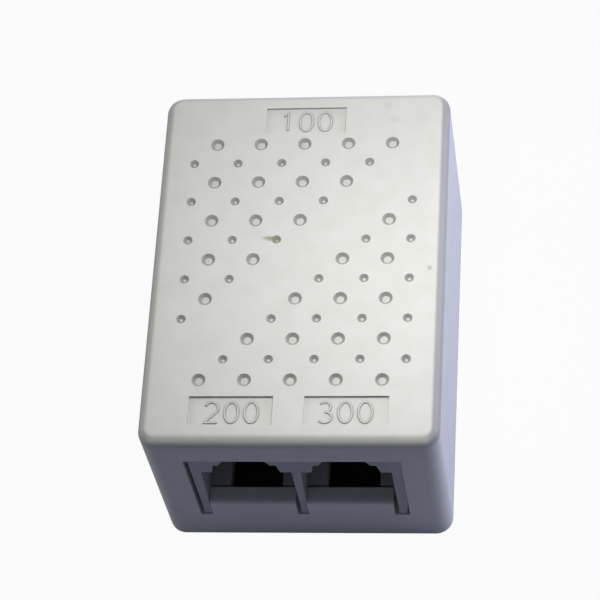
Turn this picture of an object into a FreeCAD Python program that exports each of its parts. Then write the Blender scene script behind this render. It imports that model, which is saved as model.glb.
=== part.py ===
import FreeCAD, Part
import math
import os

import Sketcher
from FreeCAD import Placement, Rotation, Vector

# A DSL splitter: a palm-sized plastic case with two telephone sockets in its front end and one in its rear end.
# Millimetres. The origin is the centre of the flat underside, +Z is up, the two front sockets face -Y.

SIZES = {
    # the case, which is built round the sockets and the filter
    "side_room": "2.805",
    "block_headroom": "1.45",
    "corner_round": "2.0",
    "top_round": "1.25",
    "foot_round": "0.4",
    "wall": "2.0",
    "roof": "2.0",
    "cavity_round": "1.0",
    # the field of dimples in the roof
    "dimple_pitch": "2.54",
    "dimple_shift": "0.39",
    "large_dimple_width": "1.6",
    "small_dimple_width": "1.1",
    "dimple_depth": "0.35",
    # the three label recesses in the roof
    "recess_width": "9.3",
    "recess_length": "3.5",
    "recess_depth": "0.3",
    "front_recess_spread": "12.74",
    "front_recess_inset": "4.0",
    "rear_recess_inset": "3.8",
    # the base and its screws
    "base_thickness": "2.0",
    "base_gap": "0.15",
    "pillar_radius": "2.2",
    "pillar_inset": "2.6",
    "front_pillar_gap": "1.35",
    "rear_pillar_gap": "0.35",
    "pillar_foot": "4.3",
    "web_thickness": "1.2",
    "screw_radius": "1.05",
    "screw_length": "8.0",
    "screw_head_radius": "1.8",
    "screw_head_height": "1.3",
    "screw_sink": "0.2",
    "cross_length": "2.0",
    "cross_width": "0.5",
    "cross_depth": "0.7",
    "thread_clearance": "0.03",
    "hole_clearance": "0.15",
    "rest_side": "3.0",
    "rest_spread": "18.0",
    # the circuit board
    "board_top": "6.1",
    "board_thickness": "1.6",
    "board_gap": "0.3",
    "lead_hole_side": "0.8",
    "lead_side": "0.5",
    "lead_tail": "0.9",
    "lead_bite": "0.1",
    # the socket blocks
    "port_width": "10.12",
    "port_floor": "8.77",
    "port_top": "17.0",
    "key_width": "7.7",
    "key_top": "18.75",
    "slot_width": "4.6",
    "slot_top": "19.85",
    "key_bevel": "0.35",
    "slot_bevel": "0.6",
    "side_bar": "1.15",
    "middle_bar": "1.05",
    "bar_lean": "0.3",
    "bar_gap": "0.28",
    "foot_gap": "0.42",
    "block_shift": "0.24",
    "nose_recess": "0.05",
    "seam_gap": "0.3",
    "window_top": "19.88",
    "window_gap": "0.1",
    "lip_round": "0.5",
    "block_depth": "13.4",
    "block_roof": "1.2",
    "cavity_back": "1.6",
    "pit_width": "6.0",
    "pit_back": "1.2",
    # the contact carriers and their springs
    "carrier_gap": "0.05",
    "carrier_floor": "0.9",
    "comb_height": "7.2",
    "comb_inset": "2.0",
    "comb_thickness": "1.5",
    "comb_groove": "1.0",
    "contact_pitch": "1.02",
    "contact_width": "0.5",
    "contact_thickness": "0.3",
    "contact_front": "6.5",
    "contact_bite": "0.8",
    "contact_rise": "1.35",
    "contact_height": "6.0",
    "contact_pin_inset": "0.8",
    "contact_pin_step": "1.4",
    "contact_slack": "0.08",
    "bend_radius": "0.24",
    # the two filter chokes
    "choke_spread": "9.2",
    "choke_gap": "1.5",
    "core_width": "8.4",
    "core_depth": "4.1",
    "core_thickness": "3.6",
    "core_back": "1.4",
    "core_side_leg": "1.1",
    "core_middle_leg": "1.9",
    "choke_axis_height": "5.0",
    "bobbin_wall": "0.45",
    "bobbin_gap": "0.1",
    "flange_thickness": "0.6",
    "flange_height": "8.6",
    "winding_build": "1.35",
    "winding_round": "1.2",
    "pin_spread": "5.0",
    "pin_bite": "1.2",
    # the film capacitors
    "capacitor_width": "7.2",
    "capacitor_thickness": "3.6",
    "capacitor_height": "7.5",
    "capacitor_pitch": "5.08",
    "capacitor_gap": "2.1",
    "capacitor_rear_gap": "2.9",
    "capacitor_spread": "8.2",
    "capacitor_bevel": "0.4",
    # the resistors
    "resistor_length": "6.0",
    "resistor_radius": "1.1",
    "resistor_waist": "0.9",
    "resistor_cap": "1.3",
    "resistor_pitch": "8.2",
    "resistor_gap": "0.4",
    "resistor_lift": "1.3",
    "resistor_inset": "3.0",
    "resistor_spacing": "3.3",
    # the surge arrester
    "arrester_inset": "4.2",
    "arrester_radius": "2.5",
    "arrester_tube": "3.4",
    "arrester_bore": "1.6",
    "arrester_cap": "1.0",
    "arrester_rim": "2.7",
    "arrester_lift": "3.0",
}

DIMPLE_ROWS = 13
DIMPLE_COLUMNS = 11
BARE_DIAGONAL = 12
CONTACTS_PER_PORT = 4
DIMPLE_SIDES = 12
TONGUE_SLANT = 1.3

doc = FreeCAD.newDocument("dsl_splitter")


class Size:
    """A length from the sheet or worked out from it: its number, and the expression that keeps it live."""

    def __init__(self, number, text):
        self.number = number
        self.text = text

    def joined(self, other, sign, number):
        other_text = other.text if isinstance(other, Size) else repr(float(other))
        return Size(number, "(%s %s %s)" % (self.text, sign, other_text))

    def __add__(self, other):
        return self.joined(other, "+", self.number + number_of(other))

    def __sub__(self, other):
        return self.joined(other, "-", self.number - number_of(other))

    def __mul__(self, other):
        return self.joined(other, "*", self.number * number_of(other))

    def __truediv__(self, other):
        return self.joined(other, "/", self.number / number_of(other))

    def __neg__(self):
        return Size(-self.number, "(-1 * %s)" % self.text)


def number_of(value):
    return value.number if isinstance(value, Size) else float(value)


def text_of(value):
    return value.text if isinstance(value, Size) else repr(float(value))


class Sheet:
    """The spreadsheet of driving dimensions. Each is read back as sheet.name."""

    def __init__(self, sizes):
        self.cells = doc.addObject("Spreadsheet::Sheet", "sizes")
        self.numbers = {}
        for row, (name, text) in enumerate(sizes.items(), start=1):
            self.cells.set("A%d" % row, text)
            self.cells.setAlias("A%d" % row, name)
            self.numbers[name] = float(text)
        doc.recompute()

    def __getattr__(self, name):
        return Size(self.numbers[name], "sizes." + name)


size = Sheet(SIZES)
MIDDLE = Size(0.0, "0")


# Helpers for bodies and sketches

def bind(thing, path, value):
    thing.setExpression(path, text_of(value))


def new_body(label):
    body = doc.addObject("PartDesign::Body", label)
    body.Label = label
    return body


def new_sketch(body, role, offset=0):
    """An empty sketch on one of the body's own origin planes, moved along that plane's normal."""
    plane = next(item for item in body.Origin.OriginFeatures if item.Role == role)
    sketch = body.newObject("Sketcher::SketchObject", body.Name + "_sketch")
    sketch.AttachmentSupport = [(plane, "")]
    sketch.MapMode = "FlatFace"
    bind(sketch, "AttachmentOffset.Base.z", offset)
    return sketch


def pin_point(sketch, geometry, position, point):
    """Hold one point of a sketch's geometry at two lengths from the sketch's origin."""
    for kind, value in zip(("DistanceX", "DistanceY"), point):
        number = sketch.addConstraint(Sketcher.Constraint(kind, -1, 1, geometry, position, number_of(value)))
        bind(sketch, "Constraints[%d]" % number, value)


def outline(sketch, points):
    """A closed outline of straight lines through the points."""
    first = sketch.GeometryCount
    corners = [Vector(number_of(x), number_of(y), 0) for x, y in points]
    for start, end in zip(corners, corners[1:] + corners[:1]):
        sketch.addGeometry(Part.LineSegment(start, end))
    for index in range(len(points)):
        following = (index + 1) % len(points)
        sketch.addConstraint(Sketcher.Constraint("Coincident", first + index, 2, first + following, 1))
    for index, point in enumerate(points):
        pin_point(sketch, first + index, 1, point)


def rectangle(sketch, left, right, low, high):
    outline(sketch, [(left, low), (right, low), (right, high), (left, high)])


def circle(sketch, x, y, radius):
    ring = Part.Circle(Vector(number_of(x), number_of(y), 0), Vector(0, 0, 1), number_of(radius))
    number = sketch.addGeometry(ring)
    pin_point(sketch, number, 3, (x, y))
    held = sketch.addConstraint(Sketcher.Constraint("Radius", number, number_of(radius)))
    bind(sketch, "Constraints[%d]" % held, radius)


def grow(body, kind, sketch, length, reverse=False, both=False):
    """A pad or a pocket of a sketch."""
    base = body.Tip
    feature = body.newObject("PartDesign::" + kind, body.Name + "_" + kind.lower())
    feature.Profile = sketch
    bind(feature, "Length", length)
    feature.Reversed = reverse
    if both:
        feature.SideType = "Symmetric"
    body.Tip = feature
    doc.recompute()
    if kind == "Pocket" and feature.Shape.Volume >= base.Shape.Volume:
        raise RuntimeError("the pocket in %s cut nothing" % body.Label)
    return feature


def pad(body, sketch, length, reverse=False, both=False):
    return grow(body, "Pad", sketch, length, reverse, both)


def pocket(body, sketch, length, reverse=False, both=False):
    return grow(body, "Pocket", sketch, length, reverse, both)


def turn(body, sketch):
    """A full turn of a sketch about the sketch's own vertical axis."""
    feature = body.newObject("PartDesign::Revolution", body.Name + "_revolution")
    feature.Profile = sketch
    feature.ReferenceAxis = (sketch, ["V_Axis"])
    feature.Angle = 360
    body.Tip = feature
    doc.recompute()
    return feature


def edges_along(feature, direction, test):
    """The names of the feature's straight edges along a direction whose middle passes the test."""
    names = []
    for index, edge in enumerate(feature.Shape.Edges, start=1):
        if edge.Curve.TypeId != "Part::GeomLine":
            continue
        if abs(edge.Curve.Direction.dot(direction)) > 0.999 and test(edge.CenterOfMass):
            names.append("Edge%d" % index)
    return names


def dress(body, kind, names, path, value):
    base = body.Tip
    feature = body.newObject("PartDesign::" + kind, body.Name + "_" + kind.lower())
    feature.Base = (base, names)
    bind(feature, path, value)
    body.Tip = feature
    doc.recompute()
    return feature


def soften(body, names, radius):
    """A fillet on the named edges of the body's latest feature."""
    return dress(body, "Fillet", names, "Radius", radius)


def chamfer(body, names, width):
    """A flat bevel on the named edges of the body's latest feature."""
    return dress(body, "Chamfer", names, "Size", width)


ALONG_X = Vector(1, 0, 0)
ALONG_Y = Vector(0, 1, 0)
ALONG_Z = Vector(0, 0, 1)


def place(thing, x, y, z, turned=False):
    """Stand a finished sub-part at a point, turned half round the upright axis where it faces the rear."""
    if turned:
        thing.Placement = Placement(Vector(0, 0, 0), Rotation(ALONG_Z, 180))
    for axis, value in zip("xyz", (x, y, z)):
        bind(thing, "Placement.Base." + axis, value)


# Places that several sub-parts share. Along the case stand the twin block, the chokes, the capacitors and the line
# block, with a gap after each, and they set how long it is.

PORT_PITCH = size.port_width + size.middle_bar
BLOCK_REACH = size.nose_recess + size.block_depth
ROW_LENGTH = size.choke_gap + size.core_depth * 2 + size.capacitor_gap + size.capacitor_thickness
CASE_LENGTH = BLOCK_REACH * 2 + ROW_LENGTH + size.capacitor_rear_gap
CASE_WIDTH = PORT_PITCH + size.port_width + (size.side_bar + size.side_room + size.wall) * 2
CASE_HEIGHT = size.slot_top + size.block_roof + size.block_headroom + size.roof
CAVITY_HALF_WIDTH = CASE_WIDTH / 2 - size.wall
CAVITY_HALF_LENGTH = CASE_LENGTH / 2 - size.wall
CEILING = CASE_HEIGHT - size.roof

TWIN_BLOCK_BACK = BLOCK_REACH - CASE_LENGTH / 2
CHOKE_Y = TWIN_BLOCK_BACK + size.choke_gap + size.core_depth
CAPACITOR_BACK = TWIN_BLOCK_BACK + ROW_LENGTH
CAPACITOR_Y = CAPACITOR_BACK - size.capacitor_thickness / 2
RESISTOR_REACH = (size.resistor_pitch + size.lead_side) / 2
RESISTOR_Y = CAPACITOR_BACK + size.resistor_gap + RESISTOR_REACH
PILLAR_X = CAVITY_HALF_WIDTH - size.pillar_inset
FRONT_PILLAR_Y = TWIN_BLOCK_BACK + size.front_pillar_gap + size.pillar_radius
REAR_PILLAR_Y = RESISTOR_Y + RESISTOR_REACH + size.rear_pillar_gap + size.pillar_radius


def pillar_spots():
    """The four screw places, as seen from above."""
    return [(side, PILLAR_X * side, y) for side in (-1, 1) for y in (FRONT_PILLAR_Y, REAR_PILLAR_Y)]


def block_bars(port_count):
    """Left and right edges of the upright bars of a socket block, from its centre."""
    half = size.port_width * (port_count / 2) + size.middle_bar * ((port_count - 1) / 2)
    bars = [(-half - size.side_bar, -half)]
    if port_count == 2:
        bars.append((-size.middle_bar / 2, size.middle_bar / 2))
    bars.append((half, half + size.side_bar))
    return bars


def port_centres(port_count):
    """Where the sockets lie across a block."""
    return [PORT_PITCH * (index - (port_count - 1) / 2) for index in range(port_count)]


# The top cover

def window_outline(sketch, port_count, facing):
    """The window that a block shows through: a notch round each bar's foot and a tongue between two bars."""
    bars = block_bars(port_count)
    notch = size.board_top - size.foot_gap
    points = []
    for left, right in bars:
        low_left = left - size.bar_gap
        low_right = right + size.bar_gap - size.bar_lean
        points += [(low_left, size.port_floor), (low_left, notch), (low_right, notch), (low_right, size.port_floor)]
    far_right = bars[-1][1] + size.bar_gap
    points[0] = (points[0][0], size.window_top)
    points[-2:] = [(far_right, notch), (far_right, size.window_top)]
    outline(sketch, [(x * facing, z) for x, z in points])


def dimple_cutter(label, width):
    """The peg that hollows one dimple: round but for its twelve flats, its lower rim bevelled down to a small floor."""
    body = new_body(label)
    sketch = new_sketch(body, "XY_Plane")
    turns = [math.tau * index / DIMPLE_SIDES for index in range(DIMPLE_SIDES)]
    outline(sketch, [(width / 2 * math.cos(turn), width / 2 * math.sin(turn)) for turn in turns])
    pad(body, sketch, size.dimple_depth * 2)
    lower_rim = ["Edge%d" % number for number, edge in enumerate(body.Tip.Shape.Edges, start=1)
                 if edge.BoundBox.ZMax < 0.01]
    chamfer(body, lower_rim, size.dimple_depth)
    return body


def dimple(row, column, cutter):
    """A copy of a cutter, sunk in the roof at its place in the field."""
    copy = doc.addObject("App::Link", "dimple")
    copy.LinkedObject = cutter
    middle_row = (DIMPLE_ROWS + 1) / 2
    middle_column = (DIMPLE_COLUMNS - 1) / 2
    x = size.dimple_pitch * (column - middle_column)
    y = size.dimple_shift - size.dimple_pitch * (row - middle_row)
    place(copy, x, y, CASE_HEIGHT - size.dimple_depth)
    return copy


def dimple_field():
    """Rows of large dimples alternate with rows of small ones, half a step aside, with one diagonal left bare."""
    large = dimple_cutter("large_dimple", size.large_dimple_width)
    small = dimple_cutter("small_dimple", size.small_dimple_width)
    copies = []
    for row in range(1, DIMPLE_ROWS + 1):
        cutter, first_column = (large, 1) if row % 2 == 1 else (small, 0)
        for column in range(first_column, DIMPLE_COLUMNS, 2):
            if row + column != BARE_DIAGONAL:
                copies.append(dimple(row, column, cutter))
    field = doc.addObject("Part::Compound", "dimple_field")
    field.Links = copies
    return field


def cover_moulding():
    """The deep shell without its dimples: roof, walls, windows, label recesses and screw pillars."""
    body = new_body("cover_moulding")
    half_width = CASE_WIDTH / 2
    half_length = CASE_LENGTH / 2

    sketch = new_sketch(body, "XY_Plane")
    rectangle(sketch, -half_width, half_width, -half_length, half_length)
    pad(body, sketch, CASE_HEIGHT)
    soften(body, edges_along(body.Tip, ALONG_Z, lambda middle: True), size.corner_round)
    top = CASE_HEIGHT.number
    roof_edges = ["Edge%d" % number for number, edge in enumerate(body.Tip.Shape.Edges, start=1)
                  if edge.BoundBox.ZMin > top - 0.01]
    soften(body, roof_edges, size.top_round)
    foot_edges = ["Edge%d" % number for number, edge in enumerate(body.Tip.Shape.Edges, start=1)
                  if edge.BoundBox.ZMax < 0.01]
    soften(body, foot_edges, size.foot_round)

    sketch = new_sketch(body, "XY_Plane")
    rectangle(sketch, -CAVITY_HALF_WIDTH, CAVITY_HALF_WIDTH, -CAVITY_HALF_LENGTH, CAVITY_HALF_LENGTH)
    pocket(body, sketch, CEILING, reverse=True)
    inner = CAVITY_HALF_WIDTH.number
    cavity_corners = edges_along(body.Tip, ALONG_Z, lambda middle: abs(abs(middle.x) - inner) < 0.01)
    soften(body, cavity_corners, size.cavity_round)

    sketch = new_sketch(body, "XZ_Plane", half_length)
    window_outline(sketch, 2, 1)
    pocket(body, sketch, size.wall)
    sketch = new_sketch(body, "XZ_Plane", -half_length)
    window_outline(sketch, 1, -1)
    pocket(body, sketch, size.wall, reverse=True)
    floor = size.port_floor.number
    outside = half_length.number
    lips = edges_along(body.Tip, ALONG_X, lambda middle: abs(middle.z - floor) < 0.01
                       and abs(abs(middle.y) - outside) < 0.01)
    soften(body, lips, size.lip_round)

    sketch = new_sketch(body, "XY_Plane", CASE_HEIGHT)
    half_recess = size.recess_width / 2
    front_y = -half_length + size.front_recess_inset
    rear_y = half_length - size.rear_recess_inset
    half_spread = size.front_recess_spread / 2
    spots = [(-half_spread, front_y), (half_spread, front_y), (MIDDLE, rear_y)]
    for x, y in spots:
        rectangle(sketch, x - half_recess, x + half_recess, y - size.recess_length / 2, y + size.recess_length / 2)
    pocket(body, sketch, size.recess_depth)

    pillar_length = CEILING - size.pillar_foot
    sketch = new_sketch(body, "XY_Plane", CEILING)
    for side, x, y in pillar_spots():
        circle(sketch, x, y, size.pillar_radius)
    pad(body, sketch, pillar_length, reverse=True)
    sketch = new_sketch(body, "XY_Plane", CEILING)
    for side, x, y in pillar_spots():
        to_wall = CAVITY_HALF_WIDTH + size.wall / 2
        left, right = (x, to_wall) if side > 0 else (-to_wall, x)
        rectangle(sketch, left, right, y - size.web_thickness / 2, y + size.web_thickness / 2)
    pad(body, sketch, pillar_length, reverse=True)
    sketch = new_sketch(body, "XY_Plane", size.pillar_foot)
    for side, x, y in pillar_spots():
        circle(sketch, x, y, size.screw_radius + size.thread_clearance)
    pocket(body, sketch, size.screw_length, reverse=True)
    return body


def top_cover():
    moulding = cover_moulding()
    cut = doc.addObject("Part::Cut", "top_cover")
    cut.Base = moulding
    cut.Tool = dimple_field()
    cut.Label = "top_cover"
    return cut


# The base cover and its screws

def base_cover():
    body = new_body("base_cover")
    half_width = CAVITY_HALF_WIDTH - size.base_gap
    half_length = CAVITY_HALF_LENGTH - size.base_gap
    sketch = new_sketch(body, "XY_Plane")
    rectangle(sketch, -half_width, half_width, -half_length, half_length)
    pad(body, sketch, size.base_thickness)
    soften(body, edges_along(body.Tip, ALONG_Z, lambda middle: True), size.cavity_round)

    sketch = new_sketch(body, "XY_Plane", size.base_thickness)
    for side, x, y in pillar_spots():
        circle(sketch, x, y, size.pillar_radius)
    pad(body, sketch, size.pillar_foot - size.base_thickness)
    sketch = new_sketch(body, "XY_Plane", size.base_thickness)
    half_side = size.rest_side / 2
    for side in (-1, 1):
        x = size.rest_spread / 2 * side
        rectangle(sketch, x - half_side, x + half_side, -half_side, half_side)
    pad(body, sketch, size.board_top - size.board_thickness - size.base_thickness)

    sketch = new_sketch(body, "XY_Plane")
    for side, x, y in pillar_spots():
        circle(sketch, x, y, size.screw_head_radius + size.hole_clearance)
    pocket(body, sketch, size.screw_sink + size.screw_head_height, reverse=True)
    sketch = new_sketch(body, "XY_Plane")
    for side, x, y in pillar_spots():
        circle(sketch, x, y, size.screw_radius + size.hole_clearance)
    pocket(body, sketch, size.pillar_foot, reverse=True)
    return body


def base_screw(x, y):
    """One pan-head screw, head down, with a cross recess."""
    head = doc.addObject("Part::Cylinder", "screw_head")
    bind(head, "Radius", size.screw_head_radius)
    bind(head, "Height", size.screw_head_height)
    place(head, x, y, size.screw_sink)
    shank = doc.addObject("Part::Cylinder", "screw_shank")
    bind(shank, "Radius", size.screw_radius)
    bind(shank, "Height", size.screw_length)
    place(shank, x, y, size.screw_sink + size.screw_head_height)
    solid = doc.addObject("Part::Fuse", "screw_blank")
    solid.Base = head
    solid.Tool = shank
    bars = []
    for across, along in ((size.cross_length, size.cross_width), (size.cross_width, size.cross_length)):
        bar = doc.addObject("Part::Box", "cross_bar")
        bind(bar, "Length", across)
        bind(bar, "Width", along)
        bind(bar, "Height", size.cross_depth)
        place(bar, x - across / 2, y - along / 2, size.screw_sink)
        bars.append(bar)
    cross = doc.addObject("Part::Fuse", "cross_recess")
    cross.Base = bars[0]
    cross.Tool = bars[1]
    screw = doc.addObject("Part::Cut", "base_screw")
    screw.Base = solid
    screw.Tool = cross
    return screw


def base_screws():
    group = doc.addObject("Part::Compound", "base_screws")
    group.Links = [base_screw(x, y) for side, x, y in pillar_spots()]
    group.Label = "base_screws"
    return group


# The socket blocks. Each is drawn from its front face inwards along +Y, standing on the board.

PIT_DEPTH = size.block_depth - size.pit_back
COMB_DEPTH = PIT_DEPTH - size.comb_inset


def above_board(height):
    return height - size.board_top


def port_outline(sketch, centre):
    """The keyed mouth of one socket: wide below, a shouldered key above it and a narrow slot at the top.

    Its left wall leans outwards on the way down.
    """
    half_port = size.port_width / 2
    half_key = size.key_width / 2
    half_slot = size.slot_width / 2
    floor = above_board(size.port_floor)
    port_top = above_board(size.port_top)
    key_top = above_board(size.key_top)
    slot_top = above_board(size.slot_top)
    right_half = [
        (half_port, floor),
        (half_port, port_top),
        (half_key, port_top),
        (half_key - size.key_bevel, key_top),
        (half_slot + size.slot_bevel, key_top),
        (half_slot, slot_top),
    ]
    right = [(centre + x, z) for x, z in right_half]
    left = [(centre - x, z) for x, z in reversed(right_half)]
    left[-1] = (centre - half_port - size.bar_lean, floor)
    outline(sketch, right + left)


def port_block(label, port_count):
    body = new_body(label)
    bars = block_bars(port_count)
    left = bars[0][0]
    right = bars[-1][1]
    behind_wall = size.wall - size.nose_recess + size.seam_gap
    floor = above_board(size.port_floor)

    sketch = new_sketch(body, "XZ_Plane", -behind_wall)
    rectangle(sketch, left, right, 0, above_board(size.slot_top + size.block_roof))
    pad(body, sketch, size.block_depth - behind_wall, reverse=True)
    sketch = new_sketch(body, "XZ_Plane")
    nose_top = above_board(size.window_top - size.window_gap)
    outline(sketch, [(left, 0), (right - size.bar_lean, 0), (right, floor), (right, nose_top), (left, nose_top)])
    pad(body, sketch, behind_wall, reverse=True)

    sketch = new_sketch(body, "XZ_Plane")
    for centre in port_centres(port_count):
        port_outline(sketch, centre)
    pocket(body, sketch, size.block_depth - size.cavity_back)
    half_port = size.port_width / 2
    sketch = new_sketch(body, "XZ_Plane")
    for centre in port_centres(port_count):
        rectangle(sketch, centre - half_port - size.bar_lean, centre + half_port, 0, floor)
    pocket(body, sketch, behind_wall)
    sketch = new_sketch(body, "XY_Plane")
    for centre in port_centres(port_count):
        half_pit = size.pit_width / 2
        rectangle(sketch, centre - half_pit, centre + half_pit, behind_wall, PIT_DEPTH)
    pocket(body, sketch, floor, reverse=True)
    return body


def contact_offsets():
    """Each spring's place across its socket, and how deep its pin stands: the pins are staggered."""
    middle = (CONTACTS_PER_PORT - 1) / 2
    far_pin = COMB_DEPTH - size.contact_pin_inset
    pins = (far_pin - size.contact_pin_step, far_pin)
    return [(size.contact_pitch * (index - middle), pins[index % 2]) for index in range(CONTACTS_PER_PORT)]


def contact_carrier(label):
    """The black insert that closes the socket's pit: a floor with pin slots and an upright comb behind."""
    body = new_body(label)
    half = size.pit_width / 2 - size.carrier_gap
    front = size.wall - size.nose_recess + size.seam_gap + size.carrier_gap
    sketch = new_sketch(body, "XY_Plane")
    rectangle(sketch, -half, half, front, PIT_DEPTH - size.carrier_gap)
    pad(body, sketch, size.carrier_floor)
    sketch = new_sketch(body, "XY_Plane", size.carrier_floor)
    rectangle(sketch, -half, half, COMB_DEPTH, COMB_DEPTH + size.comb_thickness)
    pad(body, sketch, size.comb_height - size.carrier_floor)

    half_groove = size.contact_width / 2 + size.contact_slack
    sketch = new_sketch(body, "XY_Plane", size.carrier_floor)
    for x, pin in contact_offsets():
        rectangle(sketch, x - half_groove, x + half_groove, COMB_DEPTH, COMB_DEPTH + size.comb_groove)
    pocket(body, sketch, size.comb_height, reverse=True)
    sketch = new_sketch(body, "XY_Plane")
    for x, pin in contact_offsets():
        back = pin + size.contact_thickness + size.contact_slack
        rectangle(sketch, x - half_groove, x + half_groove, pin - size.contact_slack, back)
    pocket(body, sketch, size.carrier_floor, reverse=True)
    return body


def contact_spring(label, pin):
    """One stamped spring: a pin through the board, a run forward on the carrier, and a tongue rising back."""
    body = new_body(label)
    thick = size.contact_thickness
    low = size.carrier_floor
    front = size.contact_front
    rise = low + size.contact_rise
    slope = thick * TONGUE_SLANT
    tail = -size.board_thickness - size.lead_tail
    tip = COMB_DEPTH + size.contact_bite
    sketch = new_sketch(body, "YZ_Plane")
    outline(sketch, [
        (pin + thick, tail),
        (pin + thick, low + thick),
        (front + thick, low + thick),
        (front + thick, rise - slope),
        (tip, size.contact_height - slope),
        (tip, size.contact_height),
        (front, rise),
        (front, low),
        (pin, low),
        (pin, tail),
    ])
    pad(body, sketch, size.contact_width, both=True)
    nose = front.number
    bends = edges_along(body.Tip, ALONG_X, lambda middle: abs(middle.y - nose) < 0.01)
    soften(body, bends, size.bend_radius)
    return body


PORTS = (
    ("phone", -1, False),
    ("dsl", 1, False),
    ("line", 0, True),
)


def port_spot(side, turned):
    """Where a socket's drawing origin stands in the case: on the board's top, in the block's front face."""
    inset = CASE_LENGTH / 2 - size.nose_recess
    x = PORT_PITCH / 2 * side + size.block_shift
    return (x, inset, size.board_top) if turned else (x, -inset, size.board_top)


def socket_parts():
    """Both blocks, and in each socket its carrier and its springs. The places of all pins come back too."""
    parts = []
    holes = []
    for label, port_count, turned in (("twin_port_block", 2, False), ("line_port_block", 1, True)):
        block = port_block(label, port_count)
        place(block, *port_spot(0, turned), turned)
        parts.append(block)
    for name, side, turned in PORTS:
        spot = port_spot(side, turned)
        carrier = contact_carrier(name + "_contact_carrier")
        place(carrier, *spot, turned)
        parts.append(carrier)
        for number, (x, pin) in enumerate(contact_offsets(), start=1):
            spring = contact_spring("%s_contact_%d" % (name, number), pin)
            across = spot[0] - x if turned else spot[0] + x
            place(spring, across, spot[1], spot[2], turned)
            parts.append(spring)
            middle = pin + size.contact_thickness / 2
            holes.append((across, spot[1] - middle if turned else spot[1] + middle))
    return parts, holes


# The filter chokes. Each is drawn about the middle of its winding, with the coil's axis along Y.

def core_half(label):
    """An E of ferrite, its three legs pointing along +Y to meet the other half at Y = 0."""
    body = new_body(label)
    half = size.core_width / 2
    inside = half - size.core_side_leg
    middle = size.core_middle_leg / 2
    back = -size.core_depth
    web = back + size.core_back
    sketch = new_sketch(body, "XY_Plane")
    outline(sketch, [
        (-half, back), (half, back), (half, 0), (inside, 0), (inside, web), (middle, web),
        (middle, 0), (-middle, 0), (-middle, web), (-inside, web), (-inside, 0), (-half, 0),
    ])
    pad(body, sketch, size.core_thickness, both=True)
    return body


def bobbin_half_length():
    return size.core_depth - size.core_back - size.bobbin_gap


def bobbin():
    """The coil former: a square sleeve on the middle leg, two flanges, and a foot under each flange."""
    body = new_body("bobbin")
    half_length = bobbin_half_length()
    hole_x = size.core_middle_leg / 2 + size.bobbin_gap
    hole_z = size.core_thickness / 2 + size.bobbin_gap
    sleeve_x = hole_x + size.bobbin_wall
    sleeve_z = hole_z + size.bobbin_wall
    flange_x = size.core_width / 2 - size.core_side_leg - size.bobbin_gap
    sketch = new_sketch(body, "XZ_Plane")
    rectangle(sketch, -sleeve_x, sleeve_x, -sleeve_z, sleeve_z)
    pad(body, sketch, half_length * 2, both=True)
    for reverse in (False, True):
        offset = half_length - size.flange_thickness
        sketch = new_sketch(body, "XZ_Plane", -offset if reverse else offset)
        rectangle(sketch, -flange_x, flange_x, -size.flange_height / 2, size.flange_height / 2)
        pad(body, sketch, size.flange_thickness, reverse=reverse)
    foot_top = -hole_z
    foot_depth = size.core_depth - half_length + size.flange_thickness
    for reverse in (False, True):
        offset = half_length - size.flange_thickness
        sketch = new_sketch(body, "XZ_Plane", -offset if reverse else offset)
        rectangle(sketch, -flange_x, flange_x, -size.choke_axis_height, foot_top)
        pad(body, sketch, foot_depth, reverse=reverse)
    sketch = new_sketch(body, "XZ_Plane")
    rectangle(sketch, -hole_x, hole_x, -hole_z, hole_z)
    pocket(body, sketch, size.core_depth * 2, both=True)
    sketch = new_sketch(body, "XY_Plane", -size.choke_axis_height)
    half_side = size.lead_side / 2
    for x, y in choke_pin_spots():
        rectangle(sketch, x - half_side, x + half_side, y - half_side, y + half_side)
    pocket(body, sketch, size.pin_bite, reverse=True)
    return body


def choke_pin_spots():
    """The four pins of a choke, from the choke's own middle."""
    depth = (size.core_depth + bobbin_half_length() - size.flange_thickness) / 2
    half = size.pin_spread / 2
    return [(-half, -depth), (half, -depth), (-half, depth), (half, depth)]


def choke_pin(x, y):
    pin = doc.addObject("Part::Box", "choke_pin")
    bind(pin, "Length", size.lead_side)
    bind(pin, "Width", size.lead_side)
    bind(pin, "Height", size.pin_bite + size.board_thickness + size.lead_tail)
    place(pin, x - size.lead_side / 2, y - size.lead_side / 2, size.board_top - size.board_thickness - size.lead_tail)
    return pin


def winding():
    """The coil between the flanges, a block of wire with round corners."""
    body = new_body("winding")
    half_length = bobbin_half_length() - size.flange_thickness
    inner_x = size.core_middle_leg / 2 + size.bobbin_gap + size.bobbin_wall
    inner_z = size.core_thickness / 2 + size.bobbin_gap + size.bobbin_wall
    outer_x = inner_x + size.winding_build
    outer_z = inner_z + size.winding_build
    sketch = new_sketch(body, "XZ_Plane")
    rectangle(sketch, -outer_x, outer_x, -outer_z, outer_z)
    pad(body, sketch, half_length * 2, both=True)
    soften(body, edges_along(body.Tip, ALONG_Y, lambda middle: True), size.winding_round)
    sketch = new_sketch(body, "XZ_Plane")
    rectangle(sketch, -inner_x, inner_x, -inner_z, inner_z)
    pocket(body, sketch, half_length * 2, both=True)
    return body


def relabel(thing, label):
    thing.Label = label
    return thing


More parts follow.
